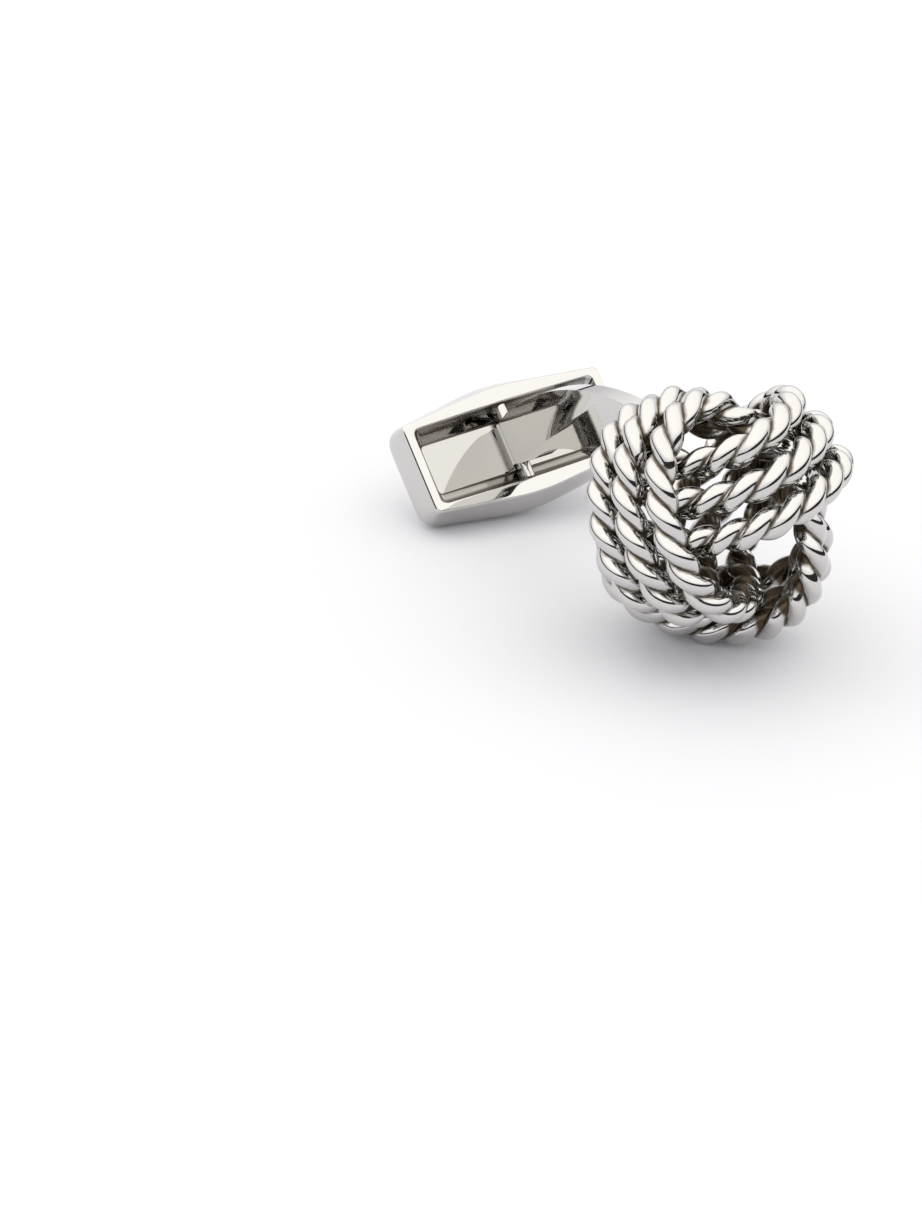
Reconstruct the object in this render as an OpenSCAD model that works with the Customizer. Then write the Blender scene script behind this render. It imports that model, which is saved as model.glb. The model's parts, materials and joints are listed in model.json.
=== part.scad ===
// Cufflink: a ball knot of three laid ropes on a bent post, with a swinging toggle.
// All lengths are in millimetres. The toggle is worked out in its own frame: X along
// the toggle, Y along its hinge pin, Z from the toggle's rim towards the knot. The
// last step lays the whole cufflink down on the surface that it rests on.

/* [Knot] */
// Diameter of one laid rope, over its two wires
rope_d = 1.85; // [1.5:0.05:1.85]
// Gap between ropes that run side by side
rope_gap = 0.52; // [0.5:0.01:0.6]
// Length in which the wires turn once round their rope
lay_len = 4.1; // [3.4:0.1:6]
// Mean radius at which the bands run round the knot's centre
weave_r = 6.65; // [6.6:0.05:7.4]
// Height by which a band rises over, and dips under, the band that it crosses
weave_rise = 0.95; // [0.94:0.01:1.2]
// Radius by which the middle of each arc is drawn in
arc_draw = 0.24; // [0.1:0.01:0.3]
// Distance of the knot's centre from the toggle's middle, along the hinge pin
knot_out = 11.8; // [10.5:0.1:12.5]
// Height of the knot's centre over the toggle's rim
knot_rise = 19.7; // [18.6:0.1:21]

/* [Post] */
// Thickness of the flat post
post_t = 1.3; // [1.1:0.05:1.4]
// Width of the post where it leaves the toggle
post_w = 3.7; // [3.2:0.1:3.8]
// Distance of the post's middle from the toggle's middle
post_shift = 0.2; // [0:0.05:0.3]
// Radius of the post's outer, bulging edge
post_outer_r = 25; // [22:0.5:30]
// Radius of the post's inner, hollow edge
post_inner_r = 11.6; // [10.5:0.1:13]
// Height over the rim at which the outer edge starts to bend
outer_start = 1; // [0.6:0.1:1.6]
// Height over the rim at which the inner edge starts to bend
inner_start = 2.2; // [1.8:0.1:3]
// Width of the post's foot on the hinge pin
foot_w = 2.9; // [2.4:0.1:3]

/* [Toggle] */
// Half the toggle's length at the rim
rim_half_l = 7.5; // [7:0.1:8.5]
// Half the toggle's width at the middle of the rim
rim_half_w = 3.85; // [3.7:0.05:4.4]
// Half the toggle's width at the ends of the rim
rim_end_half_w = 2.75; // [2.5:0.05:3.2]
// Depth of the toggle from its rim to its back
case_d = 3.2; // [3.1:0.05:4]
// How far the sides flare outwards below the rim
flare_w = 0.7; // [0.3:0.05:1]
// Width of the flat rim at the ends
rim_end_t = 0.6; // [0.5:0.05:0.8]
// Width of the flat rim at the middle of the sides
rim_side_t = 1.12; // [1:0.02:1.2]
// Depth of the pocket from the rim to the spring strip
pocket_d = 1.4; // [1.3:0.05:1.5]

/* [Hinge] */
// Diameter of the hinge pin
pin_d = 0.8; // [0.7:0.05:0.85]
// Depth of the hinge pin's axis below the rim
pin_depth = 0.65; // [0.6:0.01:0.7]
// Thickness of the spring strip
strip_t = 0.25; // [0.2:0.01:0.3]
// Width of the spring strip
strip_w = 3; // [2.6:0.1:3.1]
// How far each end of the spring strip reaches under the pocket's end wall
strip_tuck = 0.45; // [0.3:0.05:0.5]
// Width of the ledge under each end of the spring strip
ledge_w = 1.6; // [1.2:0.1:2]
// Width of the pocket's floor beside the spring strip
floor_lip = 0.1; // [0.08:0.01:0.15]
// Depth of the hollow that the spring strip bends into
spring_room = 0.6; // [0.4:0.05:0.7]

/* [Clearances] */
// Clearance all round the hinge pin in the post's foot
run_gap = 0.04; // [0.02:0.01:0.06]
// Clearance all round the hinge pin in the toggle's walls
seat_gap = 0.01; // [0.005:0.005:0.02]
// Clearance between the post's foot and the spring strip
foot_gap = 0.03; // [0.02:0.01:0.06]
// Clearance round the spring strip in its slot
slot_gap = 0.03; // [0.02:0.01:0.05]
// Clearance between the post's end and the ropes that it is soldered to
solder_gap = 0.03; // [0:0.01:0.06]

/* [Hidden] */

silver = [0.84, 0.84, 0.85];
bright = [0.9, 0.9, 0.91];
steel = [0.72, 0.73, 0.75];

// Cuts run past the faces that they open by this much
over = 0.5;

// The knot: one curve that closes after passing three times over the face
rope_step = rope_d + rope_gap;
rope_r = rope_d / 2;
// Swing of the curve in latitude, and the smaller waves that shape its bends, in degrees
lat_swing = 37.4;
lat_skew = -4;
lat_fine = -2.2;
lon_wave = -1.2;
lon_skew = 13.5;
lon_fine = 5.5;
// Share of a threefold wave that flattens the top of each crossing
flat_share = 0.2;
// Small step in degrees for the curve's own direction
turn_step = 0.05;
// Rings along a rope, and wires in a rope
ring_n = 270;
wire_n = 2;
// Outline of a rope as [angle in degrees, share of the rope's radius], for one wire
wire_shares = [[-45, 0.87], [0, 1], [45, 0.87], [90, 0.5]];

// Tilt of the knot's axis back over the post, and its turn about that axis
knot_lean = 56;
knot_turn = 108;
knot_c = [0, -knot_out, knot_rise];

function unit(v) = v / norm(v);
function rx(a) = [[1, 0, 0], [0, cos(a), -sin(a)], [0, sin(a), cos(a)]];
function rz(a) = [[cos(a), -sin(a), 0], [sin(a), cos(a), 0], [0, 0, 1]];
knot_m = rx(knot_lean) * rz(knot_turn);

function lat(t) = lat_swing * cos(3 * t) + lat_skew * sin(3 * t) + lat_fine * sin(6 * t);
function lon(t) = 2 * t + lon_wave * sin(3 * t) + lon_skew * (cos(3 * t) - 1) + lon_fine * sin(6 * t);
function crossing(t) = (sin(3 * t) + flat_share * sin(9 * t)) / (1 - flat_share);
function radius(t) = weave_r - weave_rise * crossing(t) - arc_draw * cos(6 * t);
function outward(t) = [cos(lat(t)) * cos(lon(t)), cos(lat(t)) * sin(lon(t)), sin(lat(t))];
function sideways(t) = unit(cross(outward(t), outward(t + turn_step) - outward(t)));
// Centre of the rope that lies k steps to the side of the middle one
function rope_c(t, k) =
    let (a = k * rope_step / radius(t) * 180 / PI)
    radius(t) * (cos(a) * outward(t) + sin(a) * sideways(t));

function rope_line(k) = [for (i = [0 : ring_n - 1]) rope_c(i * 360 / ring_n, k)];
function next(i) = (i + 1) % ring_n;
function prev(i) = (i + ring_n - 1) % ring_n;
function lengths(c) = [for (i = 0, s = 0; i <= ring_n; s = s + norm(c[next(i)] - c[i % ring_n]),
    i = i + 1) s];
// Points of a rope, ring by ring, with its wires laid left-handed
function rope_points(k) =
    let (c = rope_line(k), s = lengths(c), halves = round(wire_n * s[ring_n] / lay_len))
    [for (i = [0 : ring_n - 1])
        let (
            ahead = unit(c[next(i)] - c[prev(i)]),
            up = unit(cross(cross(ahead, c[i]), ahead)),
            side = cross(ahead, up),
            lay = -360 / wire_n * halves * s[i] / s[ring_n]
        )
        for (w = [0 : wire_n - 1], p = wire_shares)
            let (a = lay + w * 360 / wire_n + p[0])
            knot_c + knot_m * (c[i] + rope_r * p[1] * (cos(a) * up + sin(a) * side))];
rope_face_pts = rope_points(1);
rope_middle_pts = rope_points(0);
rope_back_pts = rope_points(-1);

// The toggle
// Points that round each corner of an outline
corner_n = 5;
// Length taken off each side of a corner, as shares of the toggle's half width: at the bellies
// of the sides, at the ends of the rim, at the ends of the case's body and in the pocket
belly_cut_share = 0.5;
rim_cut_share = 0.1;
body_cut_share = 0.26;
pocket_cut_share = 0.2;
// Outline of the toggle: half length, half width at the middle, half width at the ends
function corners(a, b, c) = [[a, -c], [a, c], [0, b], [-a, c], [-a, -c], [0, -b]];
function outline(a, b, c, end_cut_share) =
    let (v = corners(a, b, c))
    [for (i = [0 : 5])
        let (
            cut = b * (v[i][0] == 0 ? belly_cut_share : end_cut_share),
            from = v[i] + cut * unit(v[(i + 5) % 6] - v[i]),
            to = v[i] + cut * unit(v[(i + 1) % 6] - v[i])
        )
        for (j = [0 : corner_n - 1])
            let (u = j / (corner_n - 1))
            (1 - u) * (1 - u) * from + 2 * u * (1 - u) * v[i] + u * u * to];
function ring(a, b, c, z, end_cut_share) = [for (p = outline(a, b, c, end_cut_share)) [p[0], p[1], z]];
// Sections of the case, as [depth share, length share, flare share, tuck in at the back share, corner cut share]
// The side flares to the belly and then rounds in to the flat back
belly_shares = [[1, -0.9, 0.25, 0.14, body_cut_share], [0.97, -0.66, 0.45, 0.09, body_cut_share],
    [0.9, -0.32, 0.75, 0.04, body_cut_share], [0.76, 0, 1, 0, body_cut_share],
    [0.55, 0, 1, 0, body_cut_share], [0.05, 0, 0.05, 0, rim_cut_share], [0, 0, -0.12, 0, rim_cut_share]];
function case_ring(s) =
    let (out = flare_w * s[2] + flare_w * s[1] * 0.5)
    ring(rim_half_l * (1 - s[3]) + out * 0.5, rim_half_w * (1 - s[3]) + out, rim_end_half_w * (1 - s[3]) + out * 0.8,
        -case_d * s[0], s[4]);
case_rings = [for (s = belly_shares) case_ring(s)];

module loft(rings) {
    n = len(rings[0]);
    m = len(rings);
    polyhedron(
        points = [for (r = rings, p = r) p],
        faces = concat(
            [[for (i = [0 : n - 1]) i]],
            [for (k = [0 : m - 2], i = [0 : n - 1])
                each [[k * n + i, k * n + n + i, k * n + n + (i + 1) % n],
                    [k * n + i, k * n + n + (i + 1) % n, k * n + (i + 1) % n]]],
            [[for (i = [n - 1 : -1 : 0]) (m - 1) * n + i]]
        )
    );
}

// The pocket: its opening in the rim and its floor at the spring strip
open_half_l = rim_half_l - rim_end_t;
open_half_w = rim_half_w - rim_side_t;
open_end_half_w = rim_end_half_w - rim_end_t;
strip_top = -pocket_d;
floor_half_l = open_half_l - pocket_d / 2;
floor_half_w = strip_w / 2 + floor_lip;
slot_half_w = strip_w / 2 + slot_gap;
// The pocket's walls carry on this share of its depth above the rim, at the same slope
wall_up = over / pocket_d;
floor_end_half_w = floor_half_w * open_end_half_w / open_half_w;
function pocket_ring(u, z) =
    ring(floor_half_l + u * (open_half_l - floor_half_l), floor_half_w + u * (open_half_w - floor_half_w),
        floor_end_half_w + u * (open_end_half_w - floor_end_half_w), z, pocket_cut_share);

// The spring strip and its slot
strip_half_l = floor_half_l + strip_tuck;
strip_bottom = strip_top - strip_t;
room_half_l = strip_half_l - ledge_w;
slot_half_l = strip_half_l + slot_gap;
// Side view of the slot under the end walls, with the hollow below it
slot_outline = [[-slot_half_l, strip_top + slot_gap], [-slot_half_l, strip_bottom], [-room_half_l, strip_bottom],
    [-room_half_l, strip_bottom - spring_room], [room_half_l, strip_bottom - spring_room],
    [room_half_l, strip_bottom], [slot_half_l, strip_bottom], [slot_half_l, strip_top + slot_gap]];

// The post
pin_r = pin_d / 2;
foot_r = pocket_d - pin_depth - foot_gap;
post_front = post_w / 2 - post_shift;
post_rear = -post_w / 2 - post_shift;
outer_c = [post_front - post_outer_r, outer_start];
inner_c = [post_rear - post_inner_r, inner_start];
// Radius of the seat in the post's end, round the knot's centre
post_seat_r = radius(180) + rope_r + solder_gap;
edge_n = 32;
// The post's edges are drawn to these angles, well inside the seat
outer_end = 46;
inner_end = 72;
function arc(c, r, a0, a1) =
    [for (i = [0 : edge_n]) let (a = a0 + (a1 - a0) * i / edge_n) c + r * [cos(a), sin(a)]];
post_outline = concat(
    [[-foot_w / 2, -pin_depth], [foot_w / 2, -pin_depth]],
    arc(outer_c, post_outer_r, 0, outer_end),
    arc(inner_c, post_inner_r, inner_end, 0)
);

// Length of the hinge pin, flush with the flared sides where the bellies round them off
belly_lean = atan((rim_half_w - rim_end_half_w) / rim_half_l);
pin_half_l = rim_half_w * (1 - belly_cut_share * sin(belly_lean) / 2) + flare_w * pin_depth / case_d;

// Rest: the plane that the knot and the toggle's lower edge lie on
case_pts = [for (r = case_rings, p = r) p];
left_pts = [for (p = case_pts) if (p[0] < -rim_half_l / 2) p];
middle_pts = [for (p = case_pts) if (abs(p[0]) < rim_half_l / 2) p];
rope_pts = concat(rope_face_pts, rope_middle_pts, rope_back_pts);
function lowest(pts, up) =
    let (h = [for (p = pts) p * up], low = min(h))
    pts[search(low, h)[0]];
function facing(v, up) = v * up < 0 ? -v : v;
function settle(up, steps) =
    steps == 0 ? up :
    let (a = lowest(left_pts, up), b = lowest(middle_pts, up), c = lowest(rope_pts, up))
    settle(facing(unit(cross(b - a, c - a)), up), steps - 1);
first_up = unit([0.13, 0.76, 0.64]);
up = settle(first_up, 6);
along = unit([1, 0, 0] - up[0] * up);
across = cross(up, along);
rest_m = [along, across, up];
all_pts = [for (p = concat(rope_pts, case_pts)) rest_m * p];
low = [for (i = [0 : 2]) min([for (p = all_pts) p[i]])];
high = [for (i = [0 : 2]) max([for (p = all_pts) p[i]])];
shift = [-(low[0] + high[0]) / 2, -(low[1] + high[1]) / 2, -low[2]];

module at_rest() {
    multmatrix([for (i = [0 : 2]) concat(rest_m[i], [shift[i]])]) children();
}

// A closed rope: rings of points joined head to tail
module rope(pts) {
    n = wire_n * len(wire_shares);
    polyhedron(
        points = [for (p = pts) rest_m * p + shift],
        faces = [for (k = [0 : ring_n - 1], i = [0 : n - 1])
            let (a = k * n, b = next(k) * n, j = (i + 1) % n)
            each [[a + i, b + i, b + j], [a + i, b + j, a + j]]]
    );
}

module rope_face() {
    color(silver) rope(rope_face_pts);
}

module rope_middle() {
    color(silver) rope(rope_middle_pts);
}

module rope_back() {
    color(silver) rope(rope_back_pts);
}

// The flat bent post, with its round foot on the hinge pin
module post() {
    color(bright) at_rest() difference() {
        union() {
            rotate([90, 0, 90]) linear_extrude(post_t, center = true) difference() {
                polygon(post_outline);
                translate([-knot_out, knot_rise]) circle(post_seat_r, $fn = 128);
            }
            translate([0, 0, -pin_depth]) rotate([90, 0, 0]) cylinder(foot_w, foot_r, foot_r, center = true, $fn = 64);
        }
        translate([0, 0, -pin_depth]) rotate([90, 0, 0])
            cylinder(foot_w + 2 * over, pin_r + run_gap, pin_r + run_gap, center = true, $fn = 48);
    }
}

// The toggle's case: one casting with a pocket, a slot for the strip and a bore for the pin
module toggle_case() {
    color(bright) at_rest() difference() {
        loft(case_rings);
        loft([pocket_ring(0, strip_top), pocket_ring(1 + wall_up, over)]);
        rotate([90, 0, 0]) linear_extrude(2 * slot_half_w, center = true) polygon(slot_outline);
        translate([0, 0, -pin_depth]) rotate([90, 0, 0])
            cylinder(4 * rim_half_w, pin_r + seat_gap, pin_r + seat_gap, center = true, $fn = 48);
    }
}

// The hinge pin, held in the toggle's walls
module hinge_pin() {
    color(steel) at_rest() translate([0, 0, -pin_depth]) rotate([90, 0, 0])
        cylinder(2 * pin_half_l, pin_r, pin_r, center = true, $fn = 48);
}

// The leaf spring on the pocket's floor, with both ends tucked under the end walls
module spring_strip() {
    color(steel) at_rest() translate([-strip_half_l, -strip_w / 2, strip_bottom])
        cube([2 * strip_half_l, strip_w, strip_t]);
}

rope_face();
rope_middle();
rope_back();
post();
toggle_case();
hinge_pin();
spring_strip();
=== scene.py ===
import json
import math
import bmesh
import bpy
from mathutils import Matrix, Vector


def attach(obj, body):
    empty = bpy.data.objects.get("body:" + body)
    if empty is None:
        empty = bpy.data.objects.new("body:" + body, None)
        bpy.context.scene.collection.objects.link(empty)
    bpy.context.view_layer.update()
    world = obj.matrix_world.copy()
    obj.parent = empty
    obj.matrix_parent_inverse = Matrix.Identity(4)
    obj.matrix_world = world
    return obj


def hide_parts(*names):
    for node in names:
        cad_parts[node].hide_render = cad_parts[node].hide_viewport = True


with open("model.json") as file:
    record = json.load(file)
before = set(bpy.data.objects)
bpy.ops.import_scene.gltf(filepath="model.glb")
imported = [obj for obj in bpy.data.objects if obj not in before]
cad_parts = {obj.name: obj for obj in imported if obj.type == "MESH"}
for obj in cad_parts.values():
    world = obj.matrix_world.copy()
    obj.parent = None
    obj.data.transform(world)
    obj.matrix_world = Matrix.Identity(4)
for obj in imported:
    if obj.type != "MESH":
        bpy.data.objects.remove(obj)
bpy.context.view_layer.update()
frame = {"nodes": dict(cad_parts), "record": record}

# Sizes are in millimetres, except in the materials and on the table, which say metres
MM = 0.001
record = frame["record"]


# The toggle's own frame: X along it, Y along its hinge pin, Z towards the knot, from the middle of its rim
PIN_DEPTH = 0.65
swing = record["behaviour"]["joints"][0]
back = next(m for m in record["mounts"] if m["name"] == "toggle_back")
toggle_y = Vector(swing["axis"]).normalized()
toggle_z = -Vector(back["axis"]).normalized()
toggle_x = toggle_y.cross(toggle_z).normalized()
toggle_turn = Matrix((toggle_x, toggle_y, toggle_z)).transposed()
rim_centre = Vector(swing["pos_m"]) + toggle_z * PIN_DEPTH * MM
toggle_place = Matrix.Translation(rim_centre) @ toggle_turn.to_4x4() @ Matrix.Scale(MM, 4)


def worked_mesh(bm, name, place=None):
    """What the operators made, as a mesh that is moved to its place."""
    mesh = bpy.data.meshes.new(name)
    bm.to_mesh(mesh)
    bm.free()
    if place is not None:
        mesh.transform(place)
    return mesh


def points_in(geom):
    return [v for v in geom if isinstance(v, bmesh.types.BMVert)]


def add_piece(name, mesh, material, body, stands_for, smooth=True):
    piece = bpy.data.objects.new(name, mesh)
    bpy.context.scene.collection.objects.link(piece)
    mesh.materials.clear()
    mesh.materials.append(material)
    for face in mesh.polygons:
        face.use_smooth = smooth
    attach(piece, body)
    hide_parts(stands_for)
    return piece


# Materials
class Wire:
    """A shader socket that can be used in a sum or a product."""

    def __init__(self, tree, socket):
        self.tree = tree
        self.socket = socket

    def math(self, operation, other, flip=False):
        values = [other, self] if flip else [self, other]
        return self.tree.node("ShaderNodeMath", {"operation": operation}, dict(enumerate(values)))

    def __add__(self, other):
        return self.math("ADD", other)

    __radd__ = __add__

    def __sub__(self, other):
        return self.math("SUBTRACT", other)

    def __rsub__(self, other):
        return self.math("SUBTRACT", other, flip=True)

    def __mul__(self, other):
        return self.math("MULTIPLY", other)

    __rmul__ = __mul__

    def clamp(self):
        return self.math("MAXIMUM", 0.0).math("MINIMUM", 1.0)


# Places of the sockets for colours on a Mix node
MIX_SHARE, MIX_LOW, MIX_HIGH, MIX_RESULT = 0, 6, 7, 2
BLACK, WHITE = (0.0, 0.0, 0.0), (1.0, 1.0, 1.0)


class Finish:
    """The node tree of a material or a world, with one call that adds any node."""

    def __init__(self, owner):
        self.owner = owner
        owner.use_nodes = True
        self.nodes = owner.node_tree.nodes
        self.links = owner.node_tree.links
        self.nodes.clear()

    def node(self, kind, settings=None, inputs=None, output=0):
        made = self.nodes.new(kind)
        for key, value in (settings or {}).items():
            if key == "stops":
                while len(made.color_ramp.elements) < len(value):
                    made.color_ramp.elements.new(0.5)
                for stop, (place, colour) in zip(made.color_ramp.elements, value):
                    stop.position = place
                    stop.color = (*colour, 1.0)
            else:
                setattr(made, key, value)
        for key, value in (inputs or {}).items():
            if isinstance(value, Wire):
                self.links.new(value.socket, made.inputs[key])
            else:
                made.inputs[key].default_value = value
        return Wire(self, made.outputs[output]) if made.outputs else None

    def noise(self, scale, detail, stretch=None):
        place = self.node("ShaderNodeTexCoord", output="Object")
        if stretch:
            turn, squeeze = stretch
            inputs = {"Vector": place, "Rotation": turn, "Scale": squeeze}
            place = self.node("ShaderNodeMapping", None, inputs)
        return self.node("ShaderNodeTexNoise", None, {"Vector": place, "Scale": scale, "Detail": detail})

    def attribute(self, name):
        return self.node("ShaderNodeAttribute", {"attribute_name": name}, output="Fac")

    def fade(self, start, end, value):
        """0 up to start and 1 from end on."""
        return self.node("ShaderNodeValToRGB", {"stops": [(start, BLACK), (end, WHITE)]}, {"Fac": value})

    def mix(self, share, low, high):
        return self.node("ShaderNodeMix", {"data_type": "RGBA"},
            {MIX_SHARE: share, MIX_LOW: low, MIX_HIGH: high}, output=MIX_RESULT)

    def bump(self, strength, distance, height, under=None):
        inputs = {"Strength": strength, "Distance": distance, "Height": height}
        if under:
            inputs["Normal"] = under
        return self.node("ShaderNodeBump", None, inputs)

    def close(self, **sockets):
        named = {key.replace("_", " "): value for key, value in sockets.items()}
        shader = self.node("ShaderNodeBsdfPrincipled", None, named)
        self.node("ShaderNodeOutputMaterial", None, {"Surface": shader})
        return self.owner


# Colours of the plate, of the spring's steel and of the dark tarnish, which also serves as painted shade in
# hollows
PLATE = (0.60, 0.595, 0.590, 1.0)
PLATE_WARM = (0.615, 0.603, 0.585, 1.0)
STEEL = (0.50, 0.495, 0.485, 1.0)
STEEL_WARM = (0.52, 0.508, 0.485, 1.0)
TARNISH_AND_SHADE = (0.09, 0.07, 0.048, 1.0)

# Marks in the metal, each as its cells to the metre and its detail
HAZE, WAVES, SCRATCHES = (900.0, 3.0), (240.0, 1.0), (5000.0, 2.0)
STREAKS, GRAIN, BLOTCHES = (700.0, 4.0), (1500.0, 4.0), (500.0, 3.0)
# Streaks run along the walls of the pocket: their turn, and how much they are squeezed each way
STREAK_WAY = ((0.86, 0.0, 0.1), (0.12, 1.0, 1.0))
# Heights of the marks in metres, and how strongly the light takes up the scratches
WAVE_H, PIT_H, SCRATCH_H = 0.00006, 0.00005, 0.00001
SCRATCH_BUMP = 0.02
# How much the polish varies in roughness
HAZE_SPREAD = 0.04


def polished_metal(name, roughness, waviness, cool=PLATE, warm=PLATE_WARM):
    """Bright plate: fine polishing haze, faint waves left by the buffing wheel, tiny handling marks."""
    f = Finish(bpy.data.materials.new(name))
    haze = f.noise(*HAZE)
    scratches = f.noise(*SCRATCHES)
    rough = (roughness + (haze - 0.5) * HAZE_SPREAD).clamp()
    wavy = f.bump(waviness, WAVE_H, f.noise(*WAVES))
    scratched = f.bump(SCRATCH_BUMP, SCRATCH_H, scratches, wavy)
    return f.close(Base_Color=f.mix(haze, cool, warm), Metallic=1.0, Roughness=rough, Normal=scratched)


def case_metal(name):
    """The toggle's casting: polished outside, cast and tarnished on the walls of its pocket, whose dark colour
    is partly tarnish and partly painted shade of the recess.
    """
    polish, cast_rough, streak_share, waviness, cast_bump = 0.05, 0.22, 0.9, 0.1, 0.35
    tarnish_shade_starts, tarnish_shade_full = 0.25, 0.7
    f = Finish(bpy.data.materials.new(name))
    depth = f.attribute("pocket")
    haze = f.noise(*HAZE)
    streaks = f.noise(*STREAKS, STREAK_WAY)
    # Painted shade: the pocket's walls are darkened in colour, partly as tarnish, partly as shade of the recess
    dark = f.fade(tarnish_shade_starts, tarnish_shade_full, depth + (streaks - 0.5) * streak_share * depth)
    rough = (polish + dark * cast_rough + (haze - 0.5) * HAZE_SPREAD).clamp()
    wavy = f.bump(waviness, WAVE_H, f.noise(*WAVES))
    cast = f.bump(cast_bump, WAVE_H, streaks * dark, wavy)
    colour = f.mix(dark, f.mix(haze, PLATE, PLATE_WARM), TARNISH_AND_SHADE)
    return f.close(Base_Color=colour, Metallic=1.0, Roughness=rough, Normal=cast)


def rope_metal(name):
    """Bright crowns on the laid wires, with dark colour in the grooves and inside the knot: partly tarnish,
    partly painted shade where the wires and ropes shade each other.
    """
    polish, tarnish_rough, pit_bump, waviness = 0.06, 0.3, 0.3, 0.12
    inside_share, grain_share, blotch_share = 0.9, 0.4, 0.3
    tarnish_shade_starts, tarnish_shade_full = 0.6, 0.92
    f = Finish(bpy.data.materials.new(name))
    groove = f.attribute("groove")
    inside = f.attribute("inside")
    grain = f.noise(*GRAIN)
    blotch = f.noise(*BLOTCHES)
    uneven = (grain - 0.5) * grain_share + (blotch - 0.5) * blotch_share
    # Painted shade: colour darkened between the wires and on the sides facing into the knot, partly as tarnish
    dark = f.fade(tarnish_shade_starts, tarnish_shade_full, groove + inside * inside_share + uneven)
    rough = (polish + dark * tarnish_rough + (grain - 0.5) * HAZE_SPREAD).clamp()
    pits = f.bump(pit_bump, PIT_H, grain * dark)
    wavy = f.bump(waviness, WAVE_H, blotch, pits)
    colour = f.mix(dark, f.mix(blotch, PLATE, PLATE_WARM), TARNISH_AND_SHADE)
    return f.close(Base_Color=colour, Metallic=1.0, Roughness=rough, Normal=wavy)


bright_rope = rope_metal("bright_rope")
mirror_case = case_metal("mirror_case")
mirror_post = polished_metal("mirror_post", roughness=0.04, waviness=0.02)
mirror_spring = polished_metal("mirror_spring", roughness=0.04, waviness=0.02, cool=STEEL, warm=STEEL_WARM)
pin_metal = polished_metal("pin_metal", roughness=0.08, waviness=0.05)


# The knot: three ropes side by side on one woven curve
ROPE_D, ROPE_GAP, LAY_LEN = 1.85, 0.52, 4.1
ROPE_STEP = ROPE_D + ROPE_GAP
# The wires stand a little prouder than the solid ropes. VALLEY is the share of that radius left between them,
# and a lower LOBE_POWER makes them rounder
WIRES_R, VALLEY, LOBE_POWER, SECTION_N = 1.0, 0.5, 0.9, 36
# Rings along a rope, and how near two points are where its ends are joined
RINGS, QUICK_RINGS = 720, 300
SEAM_GAP = 0.004
# Middle radius of the weave, how far it rises and falls at a crossing, and how far its arcs are drawn in
WEAVE_R, WEAVE_RISE, ARC_DRAW = 6.65, 0.95, 0.24
# Swing of the curve in latitude, and the smaller waves that shape its bends, in degrees
LAT_SWING, LAT_SKEW, LAT_FINE = 37.4, -4.0, -2.2
LON_WAVE, LON_SKEW, LON_FINE = -1.2, 13.5, 5.5
# Share of a threefold wave that flattens the top of each crossing
FLAT = 0.2
# Small step for the curve's own direction, the knot's tilt and turn, in radians, and its centre
TURN_STEP = 0.001
KNOT_LEAN, KNOT_TURN = math.radians(56), math.radians(108)
KNOT_C = Vector((0.0, -11.8, 19.7))
knot_turns = Matrix.Rotation(KNOT_LEAN, 3, "X") @ Matrix.Rotation(KNOT_TURN, 3, "Z")


def weave_radius(t):
    crossing = (math.sin(3 * t) + FLAT * math.sin(9 * t)) / (1 - FLAT)
    return WEAVE_R - WEAVE_RISE * crossing - ARC_DRAW * math.cos(6 * t)


def weave_outward(t):
    s, c, s2 = math.sin(3 * t), math.cos(3 * t), math.sin(6 * t)
    lat = math.radians(LAT_SWING * c + LAT_SKEW * s + LAT_FINE * s2)
    lon = 2 * t + math.radians(LON_WAVE * s + LON_SKEW * (c - 1) + LON_FINE * s2)
    return Vector((math.cos(lat) * math.cos(lon), math.cos(lat) * math.sin(lon), math.sin(lat)))


def rope_centre(t, k):
    """Centre of the rope that lies k steps to the side of the middle one."""
    out = weave_outward(t)
    side = out.cross(weave_outward(t + TURN_STEP) - out).normalized()
    turn = k * ROPE_STEP / weave_radius(t)
    return weave_radius(t) * (math.cos(turn) * out + math.sin(turn) * side)


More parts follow.
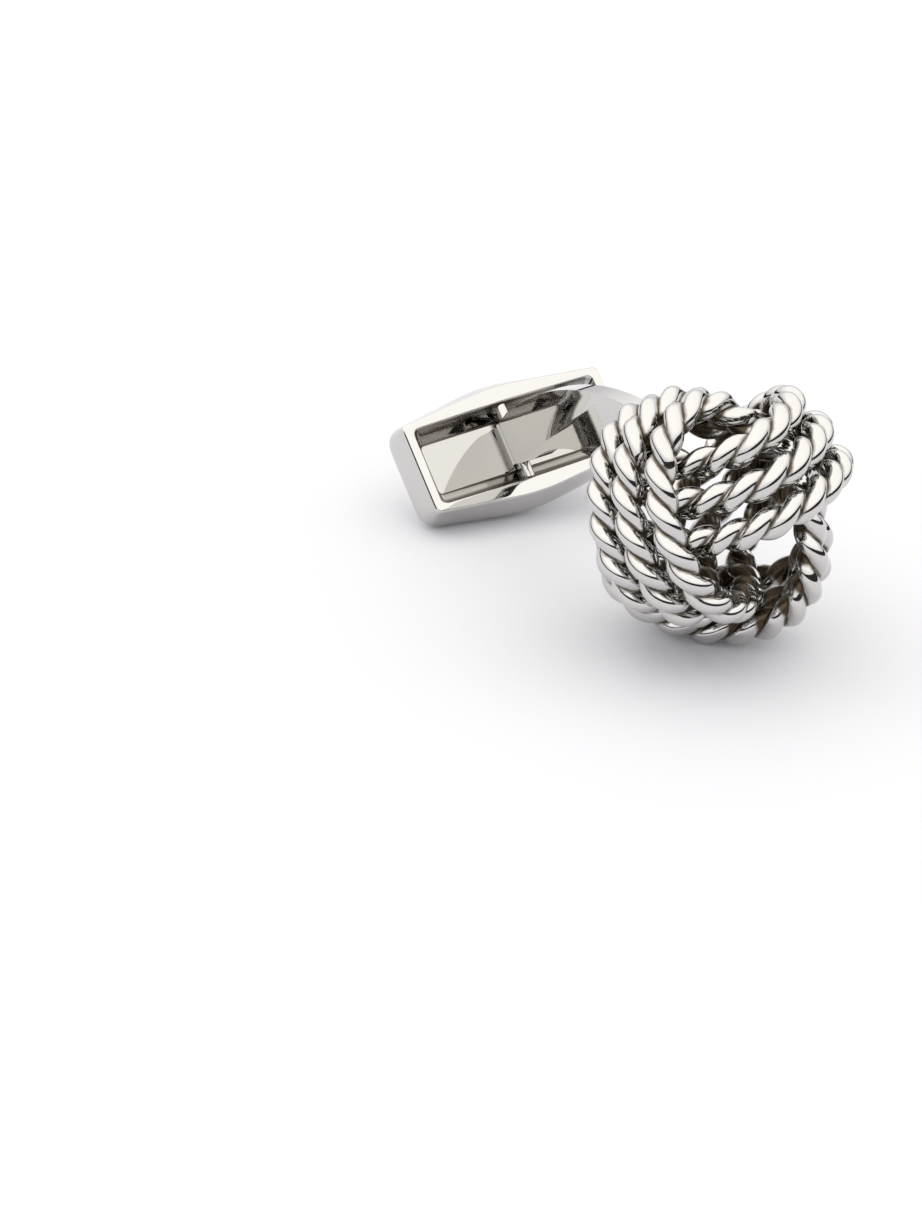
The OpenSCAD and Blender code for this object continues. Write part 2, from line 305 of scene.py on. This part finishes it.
def laid_rope(name, k, node):
    """One closed rope: its two-lobed section swept along its line, with a left-handed twist."""
    steps = RINGS
    line = [rope_centre(2 * math.pi * i / steps, k) for i in range(steps)]
    ahead = [(line[(i + 1) % steps] - line[i - 1]).normalized() for i in range(steps)]
    run = [0.0]
    for i in range(steps):
        run.append(run[-1] + (line[(i + 1) % steps] - line[i]).length)
    halves = round(2 * run[-1] / LAY_LEN)

    def seat(i):
        point, way = line[i % steps], ahead[i % steps]
        up = way.cross(point).cross(way).normalized()
        turn = -math.pi * halves * run[i] / run[-1]
        axes = Matrix((up, way.cross(up), way)).transposed().to_4x4()
        return Matrix.Translation(point) @ axes @ Matrix.Rotation(turn, 4, "Z")

    bm = bmesh.new()
    # groove and inside mark where the rope's colour is darkened, as tarnish and as painted shade
    groove = bm.verts.layers.float.new("groove")
    inside = bm.verts.layers.float.new("inside")
    bmesh.ops.create_circle(bm, segments=SECTION_N, radius=1.0)
    for v in bm.verts:
        lobe = abs(v.co.x) ** LOBE_POWER
        v.co *= WIRES_R * (VALLEY + (1 - VALLEY) * lobe)
        v[groove] = 1 - lobe
    bmesh.ops.transform(bm, matrix=seat(0), verts=bm.verts)
    ring = bm.edges[:]
    for i in range(steps):
        pushed = bmesh.ops.extrude_edge_only(bm, edges=ring)["geom"]
        ends = points_in(pushed)
        ring = [e for e in pushed if isinstance(e, bmesh.types.BMEdge)]
        bmesh.ops.transform(bm, matrix=seat(i + 1) @ seat(i).inverted(), verts=ends)
        centre = line[(i + 1) % steps]
        for v in ends:
            v[inside] = max(0.0, -(v.co - centre).normalized().dot(centre.normalized()))
    bmesh.ops.remove_doubles(bm, verts=bm.verts, dist=SEAM_GAP)
    bmesh.ops.recalc_face_normals(bm, faces=bm.faces)
    mesh = worked_mesh(bm, name, toggle_place @ Matrix.Translation(KNOT_C) @ knot_turns.to_4x4())
    add_piece(name, mesh, bright_rope, "head", node)


laid_rope("face_rope_wires", 1, "rope_face")
laid_rope("middle_rope_wires", 0, "rope_middle")
laid_rope("back_rope_wires", -1, "rope_back")


# The toggle's case: half length and half widths of its rim, and of the pocket's mouth and floor
RIM_L, RIM_W, RIM_END_W = 7.5, 3.85, 2.75
CASE_D, FLARE, POCKET_D = 3.2, 0.7, 1.4
# The rim's width at its ends, at the middle of its sides and at its end corners
RIM_END_T, RIM_SIDE_T, RIM_CORNER_T = 0.6, 1.12, 0.12
OPEN_L, OPEN_W, OPEN_END_W = RIM_L - RIM_END_T, RIM_W - RIM_SIDE_T, RIM_END_W - RIM_CORNER_T
STRIP_T, STRIP_W, STRIP_TUCK = 0.25, 3.4, 0.45
FLOOR_LIP = 0.1
FLOOR_L, FLOOR_W = OPEN_L - POCKET_D / 2, STRIP_W / 2 + FLOOR_LIP
FLOOR_END_W = FLOOR_W * OPEN_END_W / OPEN_W
# How much wider the rim's end corners stand than the belly's taper brings them
SQUARE = 0.3
# Shares of the flare that the toggle's length and its end corners take
FLARE_LONG, FLARE_CORNER = 0.5, 0.8
# Length taken off each side of a corner, as shares of the half width, and the points that round it
BELLY_CUT, BODY_CUT, SHOULDER_CUT, RIM_CUT, POCKET_CUT = 0.5, 0.26, 0.18, 0.1, 0.2
CORNER_N = 7
# Rings of the outside, from the flat back up over the belly to the rim:
# depth share, share of half the flare (below zero it is lost), flare share, share tucked in at the back,
# corner cut share, millimetres drawn in
CASE_RINGS = (
    (1, -0.9, 0.25, 0.3, BODY_CUT, 0),
    (1, -0.9, 0.25, 0.17, BODY_CUT, 0),
    (0.995, -0.88, 0.26, 0.145, BODY_CUT, 0),
    (0.97, -0.66, 0.45, 0.09, BODY_CUT, 0),
    (0.9, -0.32, 0.75, 0.04, BODY_CUT, 0),
    (0.76, 0, 1, 0, BODY_CUT, 0),
    (0.55, 0, 1, 0, BODY_CUT, 0),
    (0.3, 0, 0.53, 0, SHOULDER_CUT, 0),
    (0.07, 0, 0.09, 0, RIM_CUT, 0),
    (0.042, 0, 0.06, 0, RIM_CUT, 0),
    (0.036, 0, 0.05, 0, RIM_CUT, 0),
    (0.010, 0, 0.05, 0, RIM_CUT, 0.06),
    (0.004, 0, 0.05, 0, RIM_CUT, 0.075),
    (0.0, 0, 0.05, 0, RIM_CUT, 0.1),
    (-0.0008, 0, 0, 0, RIM_CUT, 0.25))
# Rings of the pocket, from its mouth down to the leaf and past the leaf's edge:
# share of the way from the floor to the mouth, depth, millimetres drawn in, share of tarnish and painted shade
# (painted dark lines just under the mouth and at the floor)
LEAF_UNDER = POCKET_D + STRIP_T
POCKET_RINGS = (
    (1.1, -0.001, 0, 0),
    (1.03, 0.006, 0, 0),
    (0.99, 0.05, 0, 0.25),
    (0.94, 0.12, 0, 1),
    (0.5, POCKET_D * 0.5, 0, 0.3),
    (0.08, POCKET_D * 0.93, 0, 0.45),
    (0.01, POCKET_D - 0.01, 0, 1),
    (0, POCKET_D + 0.002, 0.04, 1),
    (0, POCKET_D + 0.006, 0.085, 1),
    (0, POCKET_D + 0.05, 0.1, 1),
    (0, LEAF_UNDER, 0.1, 1),
    (0, LEAF_UNDER + 0.01, 0.3, 1))
# Tarnish and painted shade on every wall, more painted shade for each millimetre towards the near wall, and
# painted shade round the pin, with its reach
WALL_TARNISH_SHADE, NEAR_WALL_SHADE, PIN_SHADE, PIN_REACH = 0.75, 0.1, 0.4, 1.2


def outline(a, b, c, z, end_cut):
    """A long hexagon with rounded corners."""
    v = [Vector(p) for p in ((a, -c), (a, c), (0, b), (-a, c), (-a, -c), (0, -b))]
    points = []
    for i in range(6):
        cut = b * (BELLY_CUT if v[i].x == 0 else end_cut)
        start = v[i] + cut * (v[i - 1] - v[i]).normalized()
        end = v[i] + cut * (v[(i + 1) % 6] - v[i]).normalized()
        for j in range(CORNER_N):
            u = j / (CORNER_N - 1)
            p = (1 - u) ** 2 * start + 2 * u * (1 - u) * v[i] + u * u * end
            points.append((p.x, p.y, z))
    return points


def case_ring(depth, drop, out, tuck, cut, inset):
    grow = FLARE * out + FLARE * drop * 0.5
    corners = 0 if tuck else SQUARE * (1 - out)
    return outline(RIM_L * (1 - tuck) + grow * FLARE_LONG - inset, RIM_W * (1 - tuck) + grow - inset,
        RIM_END_W * (1 - tuck) + grow * FLARE_CORNER + corners - inset, -CASE_D * depth, cut)


def pocket_ring(u, depth, inset):
    return outline(FLOOR_L + u * (OPEN_L - FLOOR_L) - inset, FLOOR_W + u * (OPEN_W - FLOOR_W) - inset,
        FLOOR_END_W + u * (OPEN_END_W - FLOOR_END_W) - inset, -depth, POCKET_CUT)


def toggle_case():
    """The casting, ring by ring: up from the flat back to the rim, then down into the pocket."""
    rings = [(case_ring(*sizes), 0) for sizes in CASE_RINGS]
    rings += [(pocket_ring(*sizes), pocket_darkening) for *sizes, pocket_darkening in POCKET_RINGS]
    bm = bmesh.new()
    wall = bm.verts.layers.float.new("pocket")
    loops = []
    for points, pocket_darkening in rings:
        verts = [bm.verts.new(p) for p in points]
        for v in verts:
            # Tarnish and painted shade on the pocket walls, darker towards the near wall and round the pin
            near_pin = math.exp(-(v.co.x / PIN_REACH) ** 2)
            v[wall] = pocket_darkening * (WALL_TARNISH_SHADE - NEAR_WALL_SHADE * v.co.y + PIN_SHADE * near_pin)
        loops.append([bm.edges.new((verts[i], verts[(i + 1) % len(verts)])) for i in range(len(verts))])
    for low, high in zip(loops, loops[1:]):
        bmesh.ops.bridge_loops(bm, edges=low + high)
    for ends in (loops[0], loops[-1]):
        bmesh.ops.contextual_create(bm, geom=ends)
    bmesh.ops.recalc_face_normals(bm, faces=bm.faces)
    mesh = worked_mesh(bm, "case_shell", toggle_place)
    piece = add_piece("case_shell", mesh, mirror_case, "toggle", "toggle_case")
    fine = piece.modifiers.new("rounding", "SUBSURF")
    fine.levels = fine.render_levels = 2


toggle_case()


# The leaf spring and the hinge pin
LEAF_EDGE = 0.03
PIN_R, PIN_EDGE, PIN_N = 0.4, 0.06, 48
PIN_CREASE = math.radians(40)
# Half the sine of the angle between the belly's sides and the toggle's length
BELLY_LEAN = 0.0726
PIN_HALF_L = RIM_W * (1 - BELLY_CUT * BELLY_LEAN) + FLARE * PIN_DEPTH / CASE_D


def spring_leaf():
    """The flat leaf that closes the pocket, with its ends tucked into the casting."""
    bm = bmesh.new()
    bmesh.ops.create_cube(bm, size=1.0)
    bmesh.ops.scale(bm, vec=(2 * (FLOOR_L + STRIP_TUCK), STRIP_W, STRIP_T), verts=bm.verts)
    bmesh.ops.translate(bm, vec=(0, 0, -POCKET_D - STRIP_T / 2), verts=bm.verts)
    bmesh.ops.bevel(bm, geom=bm.edges[:], offset=LEAF_EDGE, segments=2, affect="EDGES", profile=0.5,
        material=-1)
    mesh = worked_mesh(bm, "spring_leaf", toggle_place)
    add_piece("spring_leaf", mesh, mirror_spring, "toggle", "spring_strip", smooth=False)


def turned_pin():
    """The pin lies across the case, its ends flush with the sides. Every edge of it is bevelled."""
    bm = bmesh.new()
    bmesh.ops.create_circle(bm, segments=PIN_N, radius=PIN_R, cap_ends=True)
    bmesh.ops.translate(bm, vec=(0, 0, -PIN_HALF_L), verts=bm.verts)
    pushed = bmesh.ops.extrude_face_region(bm, geom=bm.faces[:])["geom"]
    bmesh.ops.translate(bm, vec=(0, 0, 2 * PIN_HALF_L), verts=points_in(pushed))
    bmesh.ops.bevel(bm, geom=bm.edges[:], offset=PIN_EDGE, segments=3, affect="EDGES", profile=0.5,
        material=-1)
    bmesh.ops.recalc_face_normals(bm, faces=bm.faces)
    across = Matrix.Rotation(math.pi / 2, 4, "X")
    mesh = worked_mesh(bm, "pin_turned", toggle_place @ Matrix.Translation((0, 0, -PIN_DEPTH)) @ across)
    add_piece("pin_turned", mesh, pin_metal, "toggle", "hinge_pin")
    mesh.set_sharp_from_angle(angle=PIN_CREASE)


spring_leaf()
turned_pin()


# The post: points this near are one, and faces this near in angle are flat
SAME_POINT, FLAT_ANGLE = 0.002 * MM, math.radians(0.3)
# Width of its rounded edges, and the angles from which an edge is a crease and from which it is rounded
POLISHED_EDGE, CREASE_ANGLE, EDGE_ANGLE = 0.1 * MM, math.radians(30), math.radians(40)


def bent_post():
    """The post's own solid, with its edges rounded by polishing and its sides dead flat."""
    bm = bmesh.new()
    bm.from_mesh(frame["nodes"]["post"].data)
    bmesh.ops.remove_doubles(bm, verts=bm.verts, dist=SAME_POINT)
    bmesh.ops.dissolve_limit(bm, angle_limit=FLAT_ANGLE, verts=bm.verts, edges=bm.edges, delimit=set())
    mesh = worked_mesh(bm, "post_plate")
    piece = add_piece("post_plate", mesh, mirror_post, "head", "post")
    mesh.set_sharp_from_angle(angle=CREASE_ANGLE)
    edges = piece.modifiers.new("polished_edges", "BEVEL")
    edges.width = POLISHED_EDGE
    edges.segments = 3
    edges.limit_method = "ANGLE"
    edges.angle_limit = EDGE_ANGLE
    edges.harden_normals = True


bent_post()


# The table and the light, in metres. The table lies just under the ropes
TABLE_HALF, TABLE_DROP = 3.0, 0.1 * MM
TABLE_WHITE, CARD_BLACK = (0.69, 0.69, 0.73, 1.0), (0.012, 0.011, 0.01, 1.0)
# A ring of black card: low behind the object, higher elsewhere, and rising in front
CARD_R, CARD_N = 0.3, 96
CARD_LOW, CARD_H, CARD_RISE = 0.01, 0.048, 0.3
BEHIND_WAY, BEHIND_FROM = Vector((0.54, 0.84, 0.0)), 0.26
FRONT_WAY, FRONT_FROM = Vector((0.2, -0.98, 0.0)), 0.1
# The tent's light by height, from the table at 0 to overhead at 1
TENT_GLOW = [(0.0, (0.45, 0.445, 0.46)), (0.1, (0.5, 0.495, 0.51)), (0.3, (0.72, 0.71, 0.71)),
    (0.55, (0.98, 0.97, 0.93)), (1.0, (1.0, 0.985, 0.94))]
# Strength of the light, and how much of it is lost towards +X
TENT_STRENGTH, TENT_FALL = 1.62, 0.06


def add_stage(name, mesh, material):
    thing = bpy.data.objects.new(name, mesh)
    mesh.materials.append(material)
    bpy.context.scene.collection.objects.link(thing)
    return thing


def pale_floor():
    f = Finish(bpy.data.materials.new("pale_floor"))
    paper = f.close(Base_Color=TABLE_WHITE, Roughness=0.7)
    bm = bmesh.new()
    bmesh.ops.create_grid(bm, x_segments=1, y_segments=1, size=TABLE_HALF)
    bmesh.ops.translate(bm, vec=(0, 0, -TABLE_DROP), verts=bm.verts)
    add_stage("floor", worked_mesh(bm, "floor"), paper)


def black_flags():
    """A low ring of black card round the table. It gives polished edges their thin dark lines."""
    f = Finish(bpy.data.materials.new("black_card"))
    card = f.close(Base_Color=CARD_BLACK, Roughness=0.9)
    bm = bmesh.new()
    bmesh.ops.create_circle(bm, segments=CARD_N, radius=CARD_R)
    pushed = bmesh.ops.extrude_edge_only(bm, edges=bm.edges[:])["geom"]
    for v in points_in(pushed):
        behind, front = v.co.dot(BEHIND_WAY), v.co.dot(FRONT_WAY)
        v.co.z = CARD_LOW if behind > BEHIND_FROM else CARD_H + CARD_RISE * max(0.0, front - FRONT_FROM)
    ring = add_stage("flags", worked_mesh(bm, "flags"), card)
    ring.visible_camera = False
    ring.visible_diffuse = False
    ring.visible_shadow = False


def light_tent():
    """Soft white light from all round: cream from overhead, a little cooler and dimmer towards the table."""
    f = Finish(bpy.data.worlds.new("light_tent"))
    heading = f.node("ShaderNodeTexCoord", output="Generated")
    height = f.node("ShaderNodeSeparateXYZ", None, {"Vector": heading}, output="Z")
    sideways = f.node("ShaderNodeSeparateXYZ", None, {"Vector": heading}, output="X")
    glow = f.node("ShaderNodeValToRGB", {"stops": TENT_GLOW}, {"Fac": height})
    strength = TENT_STRENGTH - sideways * TENT_FALL
    light = f.node("ShaderNodeBackground", None, {"Color": glow, "Strength": strength})
    f.node("ShaderNodeOutputWorld", None, {"Surface": light})
    bpy.context.scene.world = f.owner


# The photograph's camera: its focal length in pixels of the frame, and its sensor in millimetres
FOCAL_PX, FRAME_W, SENSOR_W = 4027.0, 922.0, 36.0
# The toggle's axes and the middle of its rim as the camera sees them: to the right, up and towards it
SEEN_X = Vector((0.8506, 0.2881, -0.4399))
SEEN_Y = Vector((-0.3817, 0.9137, -0.1397))
SEEN_Z = Vector((0.3617, 0.2867, 0.8871))
SEEN_RIM = Vector((3.746, 11.466, -262.213))
NEAREST = 10 * MM


def photo_camera():
    lens = bpy.data.cameras.new("photo_camera")
    lens.sensor_fit = "HORIZONTAL"
    lens.sensor_width = SENSOR_W
    lens.lens = FOCAL_PX / FRAME_W * SENSOR_W
    lens.clip_start = NEAREST
    camera = bpy.data.objects.new("photo_camera", lens)
    bpy.context.scene.collection.objects.link(camera)
    seen = Matrix((SEEN_X, SEEN_Y, SEEN_Z)).transposed()
    turn = (toggle_turn @ seen.inverted()).to_quaternion()
    turn.normalize()
    camera.matrix_world = Matrix.Translation(rim_centre - turn @ (SEEN_RIM * MM)) @ turn.to_matrix().to_4x4()
    bpy.context.scene.camera = camera


pale_floor()
black_flags()
light_tent()
photo_camera()
bpy.context.scene.view_settings.view_transform = "Standard"
